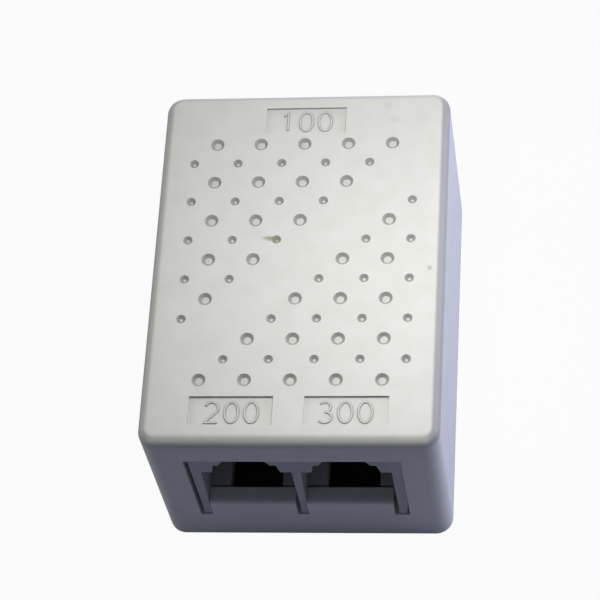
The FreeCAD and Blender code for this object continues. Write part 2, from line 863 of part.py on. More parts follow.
def chokes():
    """Two chokes side by side, and the places of their pins in the board."""
    parts = []
    holes = []
    height = size.board_top + size.choke_axis_height
    for name, side in (("left_choke", -1), ("right_choke", 1)):
        x = size.choke_spread / 2 * side
        spot = (x, CHOKE_Y, height)
        front = core_half(name + "_front_core")
        rear = core_half(name + "_rear_core")
        former = relabel(bobbin(), name + "_bobbin")
        coil = relabel(winding(), name + "_winding")
        for piece in (front, former, coil):
            place(piece, *spot)
        place(rear, *spot, turned=True)
        spots = [(x + pin_x, CHOKE_Y + pin_y) for pin_x, pin_y in choke_pin_spots()]
        pins = doc.addObject("Part::Compound", name + "_pins")
        pins.Links = [choke_pin(pin_x, pin_y) for pin_x, pin_y in spots]
        pins.Label = name + "_pins"
        parts += [front, rear, former, coil, pins]
        holes += spots
    return parts, holes


# The small components of the filter. Each is drawn standing on the board, about its own middle.

def leads(body, spots, top):
    """Square leads from a height above the board down through it."""
    half_side = size.lead_side / 2
    sketch = new_sketch(body, "XY_Plane", -size.board_thickness - size.lead_tail)
    for x, y in spots:
        rectangle(sketch, x - half_side, x + half_side, y - half_side, y + half_side)
    pad(body, sketch, size.board_thickness + size.lead_tail + top)


def capacitor(label):
    body = new_body(label)
    half_width = size.capacitor_width / 2
    half_thickness = size.capacitor_thickness / 2
    sketch = new_sketch(body, "XY_Plane")
    rectangle(sketch, -half_width, half_width, -half_thickness, half_thickness)
    pad(body, sketch, size.capacitor_height)
    top = size.capacitor_height.number
    upper = ["Edge%d" % number for number, edge in enumerate(body.Tip.Shape.Edges, start=1)
             if edge.BoundBox.ZMin > top - 0.01]
    chamfer(body, upper, size.capacitor_bevel)
    half_pitch = size.capacitor_pitch / 2
    leads(body, [(-half_pitch, MIDDLE), (half_pitch, MIDDLE)], size.lead_bite)
    return body


def capacitors():
    parts = []
    holes = []
    half_pitch = size.capacitor_pitch / 2
    for label, side in (("phone_capacitor", -1), ("series_capacitor", 0), ("line_capacitor", 1)):
        body = capacitor(label)
        x = size.capacitor_spread * side
        place(body, x, CAPACITOR_Y, size.board_top)
        parts.append(body)
        holes += [(x - half_pitch, CAPACITOR_Y), (x + half_pitch, CAPACITOR_Y)]
    return parts, holes


def resistor(label):
    """A dog-bone body lying along Y, its leads bent down to the board."""
    body = new_body(label)
    lift = size.resistor_lift + size.lead_side / 2
    half_length = size.resistor_length / 2
    half_pitch = size.resistor_pitch / 2
    half_side = size.lead_side / 2
    sketch = new_sketch(body, "XY_Plane", lift)
    rectangle(sketch, -half_side, half_side, -half_pitch - half_side, half_pitch + half_side)
    pad(body, sketch, size.lead_side, both=True)
    sketch = new_sketch(body, "XY_Plane", lift)
    collar = half_length - size.resistor_cap
    neck = collar - (size.resistor_radius - size.resistor_waist)
    outline(sketch, [
        (0, -half_length),
        (size.resistor_radius, -half_length),
        (size.resistor_radius, -collar),
        (size.resistor_waist, -neck),
        (size.resistor_waist, neck),
        (size.resistor_radius, collar),
        (size.resistor_radius, half_length),
        (0, half_length),
    ])
    turn(body, sketch)
    leads(body, [(MIDDLE, -half_pitch), (MIDDLE, half_pitch)], lift)
    return body


def resistors():
    parts = []
    holes = []
    half_pitch = size.resistor_pitch / 2
    outer_x = size.resistor_inset - CAVITY_HALF_WIDTH
    for label, x in (("inner_resistor", outer_x + size.resistor_spacing), ("outer_resistor", outer_x)):
        body = resistor(label)
        place(body, x, RESISTOR_Y, size.board_top)
        parts.append(body)
        holes += [(x, RESISTOR_Y - half_pitch), (x, RESISTOR_Y + half_pitch)]
    return parts, holes


def arrester_tube():
    body = new_body("arrester_tube")
    half = size.arrester_tube / 2
    sketch = new_sketch(body, "XY_Plane")
    rectangle(sketch, size.arrester_bore, size.arrester_radius, -half, half)
    turn(body, sketch)
    return body


def arrester_cap(label):
    """A metal end cap with a rim, closing the tube's front end, and its lead."""
    body = new_body(label)
    half = size.arrester_tube / 2
    sketch = new_sketch(body, "XY_Plane")
    rectangle(sketch, 0, size.arrester_rim, -half - size.arrester_cap, -half)
    turn(body, sketch)
    half_side = size.lead_side / 2
    y = -half - size.arrester_cap / 2
    low = -size.arrester_lift - size.board_thickness - size.lead_tail
    sketch = new_sketch(body, "XY_Plane", low)
    rectangle(sketch, -half_side, half_side, y - half_side, y + half_side)
    pad(body, sketch, -low)
    return body


def arrester():
    parts = []
    height = size.board_top + size.arrester_lift
    x = CAVITY_HALF_WIDTH - size.arrester_inset
    spot = (x, RESISTOR_Y, height)
    for body, turned in ((arrester_tube(), False), (arrester_cap("arrester_front_cap"), False),
                         (arrester_cap("arrester_rear_cap"), True)):
        place(body, *spot, turned)
        parts.append(body)
    reach = size.arrester_tube / 2 + size.arrester_cap / 2
    holes = [(x, RESISTOR_Y - reach), (x, RESISTOR_Y + reach)]
    return parts, holes


# The circuit board

def circuit_board(holes):
    """The board: clear of the walls, cut back and notched round the pillars, punched for every pin and lead."""
    body = new_body("circuit_board")
    half_width = CAVITY_HALF_WIDTH - size.board_gap
    half_length = CAVITY_HALF_LENGTH - size.board_gap
    notch = size.pillar_radius + size.board_gap
    tail_half_width = PILLAR_X - notch
    shoulder = REAR_PILLAR_Y - notch
    sketch = new_sketch(body, "XY_Plane", size.board_top - size.board_thickness)
    outline(sketch, [
        (-half_width, -half_length),
        (half_width, -half_length),
        (half_width, shoulder),
        (tail_half_width, shoulder),
        (tail_half_width, half_length),
        (-tail_half_width, half_length),
        (-tail_half_width, shoulder),
        (-half_width, shoulder),
    ])
    pad(body, sketch, size.board_thickness)
    sketch = new_sketch(body, "XY_Plane", size.board_top)
    for side in (-1, 1):
        circle(sketch, PILLAR_X * side, FRONT_PILLAR_Y, notch)
    pocket(body, sketch, size.board_thickness)
    sketch = new_sketch(body, "XY_Plane", size.board_top)
    half_hole = size.lead_hole_side / 2
    for x, y in holes:
        rectangle(sketch, x - half_hole, x + half_hole, y - half_hole, y + half_hole)
    pocket(body, sketch, size.board_thickness)
    return body


def build():
    parts = [top_cover(), base_cover(), base_screws()]
    holes = []
    for make in (socket_parts, chokes, capacitors, resistors, arrester):
        made, made_holes = make()
        parts += made
        holes += made_holes
    parts.append(circuit_board(holes))
    doc.recompute()
    for thing in doc.Objects:
        if "Invalid" in thing.State or "Error" in thing.State:
            raise RuntimeError("%s did not build" % thing.Label)
    for part in parts:
        if part.Shape.isNull() or not part.Shape.isValid():
            raise RuntimeError("%s has no sound shape" % part.Label)
    return parts


parts = build()
os.makedirs("parts", exist_ok=True)
for part in parts:
    part.Shape.exportStep("parts/%s.step" % part.Label)
    print("%-24s %2d solids %10.3f mm3" % (part.Label, len(part.Shape.Solids), part.Shape.Volume))
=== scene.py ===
import logging
from dataclasses import dataclass, field
from enum import Enum

import bmesh
import bpy
import numpy as np
from mathutils import Matrix, Vector


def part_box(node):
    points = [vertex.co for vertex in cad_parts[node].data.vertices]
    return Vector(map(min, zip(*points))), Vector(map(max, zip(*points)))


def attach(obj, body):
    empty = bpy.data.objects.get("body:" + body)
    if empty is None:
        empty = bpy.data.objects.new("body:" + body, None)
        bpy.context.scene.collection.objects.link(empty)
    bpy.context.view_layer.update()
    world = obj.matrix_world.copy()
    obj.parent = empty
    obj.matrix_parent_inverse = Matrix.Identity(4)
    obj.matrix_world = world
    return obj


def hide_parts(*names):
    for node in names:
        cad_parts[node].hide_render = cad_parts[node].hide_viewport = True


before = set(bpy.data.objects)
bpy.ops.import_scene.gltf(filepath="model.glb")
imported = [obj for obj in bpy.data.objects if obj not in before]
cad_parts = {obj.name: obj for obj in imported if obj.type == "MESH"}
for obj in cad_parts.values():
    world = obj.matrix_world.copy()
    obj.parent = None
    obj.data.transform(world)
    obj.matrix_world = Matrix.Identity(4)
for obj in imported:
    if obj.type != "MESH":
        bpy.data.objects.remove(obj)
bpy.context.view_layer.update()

# The looks of a DSL splitter: a pale case with a dimpled roof and keyed telephone sockets in both ends.
# Sizes of the object are millimetres, and the studio round it is in metres. The origin is the centre of the
# underside, and the twin sockets face -Y.

LOG = logging.getLogger("splitter")
MM = 0.001

PATCH_DETAIL = 4.0
GRAIN_DETAIL = 3.0
GLOSS_PATCH_SHARE = 0.6
STAIN_EDGE_SHARE = 0.8
CAD_MERGE = 1e-6
RING_MERGE = 1e-7
MOULDED_CREASE = 34.0
STROKE_CREASE = 50.0
WIRE_CREASE = 70.0
DIGIT_BOX_HEIGHT = 1.6

Colour = tuple[float, float, float]
Point = tuple[float, float]
Point3 = tuple[float, float, float]


def srgb(red: int, green: int, blue: int) -> Colour:
    """A display colour of 0 to 255 a channel as a linear one."""
    share = np.array((red, green, blue)) / 255.0
    linear = np.where(share <= 0.04045, share / 12.92, ((share + 0.055) / 1.055) ** 2.4)
    return tuple(float(channel) for channel in linear)


def with_alpha(colour: Colour) -> tuple[float, float, float, float]:
    """A colour with its fourth channel, as a node socket takes it."""
    return (*colour, 1.0)


# Node graphs

class Graph:
    """A node tree under construction, with short ways to add, set and join nodes."""

    def __init__(self, tree: bpy.types.NodeTree) -> None:
        """Takes over a tree and empties it."""
        self.tree = tree
        tree.nodes.clear()

    def add(self, kind: str, **settings: object) -> bpy.types.Node:
        """Adds a node.

        Args:
            kind: The node's type, without the ShaderNode in front.
            settings: Properties of the node and their values.

        Returns:
            The new node.
        """
        node = self.tree.nodes.new("ShaderNode" + kind)
        for name, value in settings.items():
            setattr(node, name, value)
        return node

    def join(self, source: bpy.types.NodeSocket, target: bpy.types.NodeSocket) -> None:
        """Links an output to an input."""
        self.tree.links.new(source, target)

    def object_point(self) -> bpy.types.NodeSocket:
        """The place on the piece, in the object's own coordinates."""
        return self.add("TexCoord").outputs["Object"]

    def noise(self, point: bpy.types.NodeSocket, size: float, detail: float = 2.0) -> bpy.types.NodeSocket:
        """Soft random variation from 0 to 1.

        Args:
            point: Where the noise is read.
            size: How wide its patches are, in millimetres.
            detail: How many finer layers are laid over them.

        Returns:
            The noise's value.
        """
        node = self.add("TexNoise")
        node.inputs["Scale"].default_value = 1.0 / (size * MM)
        node.inputs["Detail"].default_value = detail
        self.join(point, node.inputs["Vector"])
        return node.outputs["Fac"]

    def maths(self, operation: str, first: object, second: object) -> bpy.types.NodeSocket:
        """One step of arithmetic on two values.

        Args:
            operation: Which one, as the node names it.
            first: A number, or a socket that gives one.
            second: A number, or a socket that gives one.

        Returns:
            The result.
        """
        node = self.add("Math", operation=operation)
        for value, target in zip((first, second), node.inputs):
            if isinstance(value, bpy.types.NodeSocket):
                self.join(value, target)
            else:
                target.default_value = value
        return node.outputs["Value"]

    def spread(self, value: bpy.types.NodeSocket, low: float, high: float,
               start: float = 0.3, end: float = 0.7) -> bpy.types.NodeSocket:
        """Stretches a value so that start gives low and end gives high, and holds it between them."""
        node = self.add("MapRange")
        for name, number in (("From Min", start), ("From Max", end), ("To Min", low), ("To Max", high)):
            node.inputs[name].default_value = number
        self.join(value, node.inputs["Value"])
        return node.outputs["Result"]

    def blend(self, share: bpy.types.NodeSocket, first: object, second: object) -> bpy.types.NodeSocket:
        """Goes from a first colour to a second one.

        Args:
            share: 0 for the first, 1 for the second.
            first: A colour, or a socket that gives one.
            second: A colour, or a socket that gives one.

        Returns:
            The blended colour.
        """
        node = self.add("Mix", data_type="RGBA")
        self.join(share, node.inputs["Factor"])
        for name, colour in (("A", first), ("B", second)):
            socket = next(s for s in node.inputs if s.name == name and s.type == "RGBA")
            if isinstance(colour, bpy.types.NodeSocket):
                self.join(colour, socket)
            else:
                socket.default_value = with_alpha(colour)
        return next(s for s in node.outputs if s.type == "RGBA")

    def bump(self, height: bpy.types.NodeSocket, depth: float) -> bpy.types.NodeSocket:
        """Turns a height of 0 to 1 into a tilted normal, over a depth in millimetres."""
        node = self.add("Bump")
        node.inputs["Strength"].default_value = 1.0
        node.inputs["Distance"].default_value = depth * MM
        self.join(height, node.inputs["Height"])
        return node.outputs["Normal"]


# Finishes

@dataclass(frozen=True)
class Finish:
    """A surface whose colour and gloss wander a little, over a fine grain.

    Attributes:
        name: What the material is called.
        colour: Its main colour, linear.
        shade: The colour that it wanders towards.
        patch: How wide the colour's patches are, in millimetres.
        roughness: Least and greatest roughness.
        metallic: 1 for bare metal.
        grain: How wide the grain is, in millimetres.
        grain_depth: How deep the grain is, in millimetres.
        coat: How much clear lacquer lies on it.
        shine: How strongly it mirrors, 0.5 for common plastic.
    """

    name: str
    colour: Colour
    shade: Colour
    patch: float = 3.0
    roughness: Point = (0.4, 0.5)
    metallic: float = 0.0
    grain: float = 0.25
    grain_depth: float = 0.004
    coat: float = 0.0
    shine: float = 0.5

    def pigment(self, graph: Graph, point: bpy.types.NodeSocket) -> bpy.types.NodeSocket:
        """The colour over the surface: the shade and the main colour in soft patches."""
        patches = graph.spread(graph.noise(point, self.patch, PATCH_DETAIL), 0.0, 1.0)
        return graph.blend(patches, self.shade, self.colour)

    def relief(self, graph: Graph, point: bpy.types.NodeSocket) -> bpy.types.NodeSocket:
        """The height of the grain, 0 to 1."""
        return graph.noise(point, self.grain, GRAIN_DETAIL)

    def material(self) -> bpy.types.Material:
        """Builds the material, or returns it if it was built before."""
        known = bpy.data.materials.get(self.name)
        if known:
            return known
        material = bpy.data.materials.new(self.name)
        material.use_nodes = True
        graph = Graph(material.node_tree)
        point = graph.object_point()
        shader = graph.add("BsdfPrincipled")
        shader.inputs["Metallic"].default_value = self.metallic
        shader.inputs["Coat Weight"].default_value = self.coat
        shader.inputs["Specular IOR Level"].default_value = self.shine
        graph.join(self.pigment(graph, point), shader.inputs["Base Color"])
        gloss = graph.spread(graph.noise(point, self.patch * GLOSS_PATCH_SHARE), *self.roughness)
        graph.join(gloss, shader.inputs["Roughness"])
        graph.join(graph.bump(self.relief(graph, point), self.grain_depth), shader.inputs["Normal"])
        graph.join(shader.outputs["BSDF"], graph.add("OutputMaterial").inputs["Surface"])
        return material


@dataclass(frozen=True)
class Stain:
    """A soft spot of dirt.

    Attributes:
        centre: Its middle, in millimetres.
        reach: How far it goes each way along its own axes, in millimetres.
        turn: How far it is turned about the upright axis, in degrees.
        colour: Its colour, linear.
        strength: How much of the plastic it hides at its middle.
        waver: How far its edge wanders, as a share of its reach.
        fade: Between which shares of its reach it goes out.
    """

    centre: Point3
    reach: Point3
    turn: float
    colour: Colour
    strength: float
    waver: float = 0.7
    fade: Point = (0.65, 1.35)

    def mask(self, graph: Graph, point: bpy.types.NodeSocket) -> bpy.types.NodeSocket:
        """How dirty each point is: full at the middle, and fading to nothing at the ragged edge."""
        place = graph.add("Mapping", vector_type="TEXTURE")
        place.inputs["Location"].default_value = [c * MM for c in self.centre]
        place.inputs["Rotation"].default_value = (0.0, 0.0, np.radians(self.turn))
        place.inputs["Scale"].default_value = [r * MM for r in self.reach]
        graph.join(point, place.inputs["Vector"])
        distance = graph.add("VectorMath", operation="LENGTH")
        graph.join(place.outputs["Vector"], distance.inputs[0])
        speckle = graph.noise(point, min(self.reach[:2]) * STAIN_EDGE_SHARE, GRAIN_DETAIL)
        ragged = graph.maths("ADD", distance.outputs["Value"], graph.maths("MULTIPLY", speckle, self.waver))
        return graph.spread(ragged, self.strength, 0.0, *self.fade)


# Painted shade: the roof's rounded edges are darkened, each by a share of its own.
@dataclass(frozen=True)
class PaintedShadeEdge:
    """One rounded edge of the roof, and how much painted shade it takes.

    Attributes:
        axis: The axis that it lies across.
        start: Where it starts along that axis, in millimetres.
        end: Where the painted shade has its full share, in millimetres.
        share: How much of the plastic the painted shade hides there.
    """

    axis: str
    start: float
    end: float
    share: float


@dataclass(frozen=True)
class StainedAndShadedFinish(Finish):
    """A finish with spots of dirt on it, and painted shade on the edges and in the hollows of its roof.

    Attributes:
        stains: The spots.
        painted_shade: The colour of the painted shade, linear.
        hollow_share: How much of the plastic the painted shade hides on the walls of the hollows.
        edges: The rounded edges of the roof, each with a share of painted shade of its own.
        shade_rise: Between which heights the painted shade comes in, in millimetres.
        shade_tilt: The upward part of the surface's direction at which it goes out, from full to none.
    """

    stains: tuple[Stain, ...] = ()
    # Painted shade: a dark colour laid on the walls of the dimples and recesses and on the rounded edges.
    painted_shade: Colour = (0.2, 0.2, 0.19)
    hollow_share: float = 0.68
    # Painted shade on the rounded edges: most on the right, less on the left, least at the front and rear.
    edges: tuple[PaintedShadeEdge, ...] = (
        PaintedShadeEdge("Y", 21.0, 22.0, 0.15),
        PaintedShadeEdge("Y", -21.0, -22.0, 0.15),
        PaintedShadeEdge("X", -15.2, -16.2, 0.25),
        PaintedShadeEdge("X", 15.2, 16.2, 0.65),
    )
    shade_rise: Point = (22.9, 23.7)
    shade_tilt: Point = (0.9, 0.985)

    def painted_shade_mask(self, graph: Graph, point: bpy.types.NodeSocket) -> bpy.types.NodeSocket:
        """How much painted shade each point has: it lies near the roof, on what doesn't face straight up,
        and stands in for the shade in the hollows and on the rounded edges.
        """
        place = graph.add("SeparateXYZ")
        graph.join(point, place.inputs["Vector"])
        facing = graph.add("SeparateXYZ")
        graph.join(graph.add("NewGeometry").outputs["Normal"], facing.inputs["Vector"])
        low, high = (level * MM for level in self.shade_rise)
        near_roof = graph.spread(place.outputs["Z"], 0.0, 1.0, low, high)
        tilted = graph.spread(facing.outputs["Z"], 1.0, 0.0, *self.shade_tilt)
        share = self.hollow_share
        for edge in self.edges:
            beyond = graph.spread(place.outputs[edge.axis], 0.0, 1.0, edge.start * MM, edge.end * MM)
            inside = graph.maths("MULTIPLY", graph.maths("SUBTRACT", 1.0, beyond), share)
            share = graph.maths("ADD", inside, graph.maths("MULTIPLY", beyond, edge.share))
        return graph.maths("MULTIPLY", share, graph.maths("MULTIPLY", near_roof, tilted))

    def pigment(self, graph: Graph, point: bpy.types.NodeSocket) -> bpy.types.NodeSocket:
        """The plastic's own colour darkened by painted shade, with each stain laid over it in turn."""
        # Painted shade is blended in first, then the real stains.
        colour = graph.blend(self.painted_shade_mask(graph, point), super().pigment(graph, point), self.painted_shade)
        for stain in self.stains:
            colour = graph.blend(stain.mask(graph, point), colour, stain.colour)
        return colour


@dataclass(frozen=True)
class Drawn(Finish):
    """A finish whose grain is drawn out along one axis, as on stamped strip or turned metal.

    Attributes:
        stretch: How many times longer than wide the grain is, along X, Y and Z.
    """

    stretch: Point3 = (1.0, 1.0, 6.0)

    def relief(self, graph: Graph, point: bpy.types.NodeSocket) -> bpy.types.NodeSocket:
        """The height of the drawn-out grain, 0 to 1."""
        drawn = graph.add("Mapping", vector_type="TEXTURE")
        drawn.inputs["Scale"].default_value = self.stretch
        graph.join(point, drawn.inputs["Vector"])
        return graph.noise(drawn.outputs["Vector"], self.grain, GRAIN_DETAIL)


STAIN_OLIVE = srgb(148, 150, 108)
# A grey laid in two soft spots that darken the roof near the right end of the rear label recess.
RECESS_GREY = srgb(196, 195, 184)

# The case plastic: its own pale colour and real stains, with painted shade in the hollows and on the
# rounded edges of the roof.
CASE_PLASTIC = StainedAndShadedFinish(
    "pale_case_plastic", srgb(226, 225, 217), srgb(221, 220, 211), patch=2.4, roughness=(0.45, 0.55),
    grain=0.3, grain_depth=0.006, shine=0.2,
    stains=(
        Stain((-3.1, 3.05, 24.4), (1.25, 0.42, 0.6), -4.0, STAIN_OLIVE, 0.85),
        Stain((14.95, -0.9, 24.2), (0.35, 0.5, 0.6), 0.0, STAIN_OLIVE, 0.85),
        Stain((9.5, 20.7, 24.5), (0.6, 0.8, 0.4), 0.0, RECESS_GREY, 0.35),
        Stain((10.3, 18.9, 24.5), (0.9, 0.6, 0.4), 0.0, RECESS_GREY, 0.3),
    ))
BASE_PLASTIC = Finish(
    "pale_base_plastic", srgb(224, 223, 215), srgb(217, 216, 207), patch=2.8, roughness=(0.45, 0.55),
    grain=0.3, grain_depth=0.006, shine=0.2)
# Painted shade: the socket plastic is made darker than the case plastic, so the insides of the ports look
# shaded.
SHADE_DARKENED_SOCKET_PLASTIC = Finish(
    "shade_darkened_socket_plastic", srgb(188, 188, 184), srgb(180, 180, 176), patch=1.6, roughness=(0.45, 0.55),
    shine=0.2)
CARRIER_PLASTIC = Finish(
    "black_carrier_plastic", srgb(18, 18, 19), srgb(12, 12, 13), patch=1.2, roughness=(0.5, 0.65))
CONTACT_GOLD = Drawn(
    "gold_on_spring_strip", srgb(232, 192, 106), srgb(214, 172, 88), patch=0.8, roughness=(0.18, 0.3),
    metallic=1.0, grain=0.06, grain_depth=0.002, stretch=(1.0, 5.0, 5.0))
SCREW_ZINC = Finish(
    "zinc_on_steel", srgb(196, 198, 202), srgb(170, 172, 178), patch=0.7, roughness=(0.22, 0.4),
    metallic=1.0, grain=0.12, grain_depth=0.003)
SOLDER_MASK = Finish(
    "green_solder_mask", srgb(38, 92, 48), srgb(30, 78, 40), patch=2.2, roughness=(0.25, 0.4),
    grain=0.4, coat=0.3)
FERRITE = Finish(
    "grey_ferrite", srgb(62, 62, 66), srgb(44, 44, 47), patch=0.5, roughness=(0.55, 0.75),
    grain=0.15, grain_depth=0.012)
BOBBIN_PLASTIC = Finish(
    "black_bobbin_plastic", srgb(34, 34, 36), srgb(26, 26, 28), patch=1.4, roughness=(0.4, 0.55))
ENAMELLED_WIRE = Drawn(
    "enamelled_wire", srgb(196, 112, 58), srgb(164, 84, 40), patch=0.6, roughness=(0.2, 0.32),
    metallic=1.0, grain=0.1, grain_depth=0.002, coat=0.6, stretch=(5.0, 1.0, 5.0))
TINNED = Finish(
    "tin_on_copper", srgb(208, 209, 212), srgb(182, 184, 188), patch=0.6, roughness=(0.25, 0.42),
    metallic=1.0, grain=0.14, grain_depth=0.003)
CAPACITOR_BOX = Finish(
    "yellow_capacitor_box", srgb(214, 176, 52), srgb(201, 161, 40), patch=1.8, roughness=(0.3, 0.42),
    grain=0.2)
RESISTOR_LACQUER = Finish(
    "blue_resistor_lacquer", srgb(142, 178, 196), srgb(126, 163, 184), patch=0.8, roughness=(0.25, 0.35),
    grain=0.15, coat=0.5)
ARRESTER_CERAMIC = Finish(
    "glazed_arrester_tube", srgb(234, 231, 222), srgb(224, 219, 208), patch=1.0, roughness=(0.12, 0.22),
    grain=0.2, grain_depth=0.002, coat=0.4)


# Meshes

def dress(node: str, finish: Finish) -> None:
    """Gives a CAD node its material, in place of the plain one that it came with."""
    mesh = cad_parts[node].data
    mesh.materials.clear()
    mesh.materials.append(finish.material())
    LOG.info("%s dressed with %s", node, finish.name)


def add_piece(name: str, mesh: bpy.types.Mesh, finish: Finish) -> bpy.types.Object:
    """Makes a mesh a piece of the splitter that goes with its body.

    Args:
        name: The piece's name.
        mesh: The mesh, already in its place in metres.
        finish: The finish that it takes.

    Returns:
        The new object.
    """
    piece = bpy.data.objects.new(name, mesh)
    bpy.context.scene.collection.objects.link(piece)
    mesh.materials.clear()
    mesh.materials.append(finish.material())
    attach(piece, "root")
    LOG.info("%s built, %d faces", name, len(mesh.polygons))
    return piece


def smooth_by_angle(mesh: bpy.types.Mesh, degrees: float) -> None:
    """Shades a mesh smooth, with a crease where two faces meet at more than an angle."""
    if "custom_normal" in mesh.attributes:
        mesh.attributes.remove(mesh.attributes["custom_normal"])
    mesh.shade_smooth()
    mesh.set_sharp_from_angle(angle=np.radians(degrees))


def refined(node: str, name: str, finish: Finish) -> bpy.types.Object:
    """Stands a merged, smoothly shaded copy of a CAD node in for it, in the same form.

    Args:
        node: The CAD node.
        name: The copy's name.
        finish: The finish that it takes.

    Returns:
        The copy.
    """
    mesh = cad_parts[node].data.copy()
    mesh.name = name
    shell = bmesh.new()
    shell.from_mesh(mesh)
    bmesh.ops.remove_doubles(shell, verts=shell.verts, dist=CAD_MERGE)
    shell.to_mesh(mesh)
    shell.free()
    smooth_by_angle(mesh, MOULDED_CREASE)
    piece = add_piece(name, mesh, finish)
    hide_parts(node)
    return piece


def grid_mesh(name: str, rings: np.ndarray, closed_path: bool) -> bpy.types.Mesh:
    """A mesh from rings of points: each ring is joined to the next, and each is closed on itself.

    Args:
        name: The mesh's name.
        rings: The points, rings x points x 3, in metres.
        closed_path: Whether the last ring is joined to the first.

    Returns:
        The mesh, its doubles merged and its faces pointing outwards.
    """
    count, around = rings.shape[:2]
    steps = np.arange(count if closed_path else count - 1)[:, None]
    turn = np.arange(around)[None, :]
    here, there = steps * around, (steps + 1) % count * around
    onward = (turn + 1) % around
    faces = np.stack([here + turn, here + onward, there + onward, there + turn], axis=-1).reshape(-1, 4)
    mesh = bpy.data.meshes.new(name)
    mesh.from_pydata(rings.reshape(-1, 3).tolist(), [], faces.tolist())
    shell = bmesh.new()
    shell.from_mesh(mesh)
    bmesh.ops.remove_doubles(shell, verts=shell.verts, dist=RING_MERGE)
    bmesh.ops.recalc_face_normals(shell, faces=shell.faces)
    shell.to_mesh(mesh)
    shell.free()
    return mesh


def joined(name: str, meshes: list[bpy.types.Mesh]) -> bpy.types.Mesh:
    """One mesh that holds several, which are then removed."""
    shell = bmesh.new()
    for mesh in meshes:
        shell.from_mesh(mesh)
    whole = bpy.data.meshes.new(name)
    shell.to_mesh(whole)
    shell.free()
    for mesh in meshes:
        bpy.data.meshes.remove(mesh)
    return whole


def arc(centre: Point, radii: Point, start: float, end: float, count: int = 15) -> np.ndarray:
    """Points on an ellipse's arc: the centre plus the radii times the cosine and sine of even angles."""
    turn = np.radians(np.linspace(start, end, count))
    return np.array(centre) + np.array(radii) * np.stack([np.cos(turn), np.sin(turn)], axis=-1)


def evenly_spaced(path: np.ndarray, step: float) -> np.ndarray:
    """The same path through points about a step apart, by straight interpolation over its length."""
    length = np.concatenate([[0.0], np.cumsum(np.linalg.norm(np.diff(path, axis=0), axis=1))])
    places = np.linspace(0.0, length[-1], max(int(round(length[-1] / step)), 2) + 1)
    return np.stack([np.interp(places, length, path[:, axis]) for axis in range(path.shape[1])], axis=-1)


# The case

class Digit(Enum):
    """The strokes of a digit, each a path in a box 1 wide and 1.6 high."""

    ZERO = "0"
    ONE = "1"
    TWO = "2"
    THREE = "3"

    def path(self) -> np.ndarray:
        """The digit's one stroke, as points from its start to its end."""
        if self is Digit.ZERO:
            return arc((0.5, 0.8), (0.5, 0.8), 90, 450, 41)
        if self is Digit.ONE:
            return np.array([(0.18, 1.25), (0.55, 1.6), (0.55, 0.0)])
        if self is Digit.TWO:
            return np.concatenate([arc((0.5, 1.13), (0.48, 0.47), 165, -35, 19), [(0.0, 0.0), (1.0, 0.0)]])
        upper = arc((0.48, 1.2), (0.42, 0.4), 150, -90, 19)
        lower = arc((0.48, 0.42), (0.5, 0.42), 90, -150, 21)
        return np.concatenate([upper, lower[1:]])


@dataclass
class PortNumber:
    """A raised number in one of the roof's label recesses.

    Attributes:
        name: The piece's name.
        digits: The digits from left to right.
        middle: Where the number's middle lies on the roof, in millimetres.
        height: How high the digits stand on the page, in millimetres.
        width: How wide each digit is, in millimetres.
        pitch: How far apart the digits are, in millimetres.
        floor: The height of the recess's floor, in millimetres.
        half_stroke: Half of the width of a stroke, in millimetres.
        relief: How far a stroke rises from the floor, in millimetres.
        root: How far a stroke is sunk in the floor, in millimetres.
        step: How far apart the points along a stroke are, in millimetres.
    """

    name: str
    digits: tuple[Digit, ...]
    middle: Point
    height: float = 2.5
    width: float = 1.5
    pitch: float = 2.2
    floor: float = 24.2
    half_stroke: float = 0.17
    relief: float = 0.12
    root: float = 0.05
    step: float = 0.06

    def stroke(self, digit: Digit, left: float, low: float) -> bpy.types.Mesh:
        """One digit as a ridge.

        Its section is half an ellipse on a flat foot, square to the path, and it shrinks to nothing at
        both ends as the root of one less the square of how far into the end cap a point is.

        Args:
            digit: The digit.
            left: Where its box starts along X, in millimetres.
            low: Where its box starts along Y, in millimetres.

        Returns:
            The closed ridge.
        """
        box = np.array((self.width, self.height / DIGIT_BOX_HEIGHT))
        path = evenly_spaced(digit.path() * box, self.step) + (left, low)
        closed = digit is Digit.ZERO
        if closed:
            path = path[:-1]
            along = np.roll(path, -1, axis=0) - np.roll(path, 1, axis=0)
            swell = np.ones(len(path))
        else:
            along = np.gradient(path, axis=0)
            run = np.arange(len(path)) * self.step
            into_cap = np.clip(1.0 - np.minimum(run, run[::-1]) / self.half_stroke, 0.0, 1.0)
            swell = np.sqrt(1.0 - into_cap ** 2)
        along /= np.linalg.norm(along, axis=1, keepdims=True)
        across = np.stack([along[:, 1], -along[:, 0]], axis=-1)
        turn = np.linspace(0.0, np.pi, 9)
        side = np.concatenate([np.cos(turn), [-1.0, 1.0]]) * self.half_stroke
        rise = np.concatenate([np.sin(turn) * self.relief, [-self.root, -self.root]])
        flat = path[:, None, :] + across[:, None, :] * (side[None, :, None] * swell[:, None, None])
        up = self.floor + rise[None, :] * swell[:, None]
        rings = np.concatenate([flat, up[..., None]], axis=-1) * MM
        return grid_mesh(digit.name, rings, closed_path=closed)

    def build(self) -> bpy.types.Object:
        """Sets the digits side by side about the middle and makes them one piece."""
        total = self.pitch * (len(self.digits) - 1) + self.width
        low = self.middle[1] - self.height / 2
        lefts = self.middle[0] - total / 2 + self.pitch * np.arange(len(self.digits))
        strokes = [self.stroke(digit, left, low) for digit, left in zip(self.digits, lefts)]
        mesh = joined(self.name, strokes)
        smooth_by_angle(mesh, STROKE_CREASE)
        return add_piece(self.name, mesh, CASE_PLASTIC)


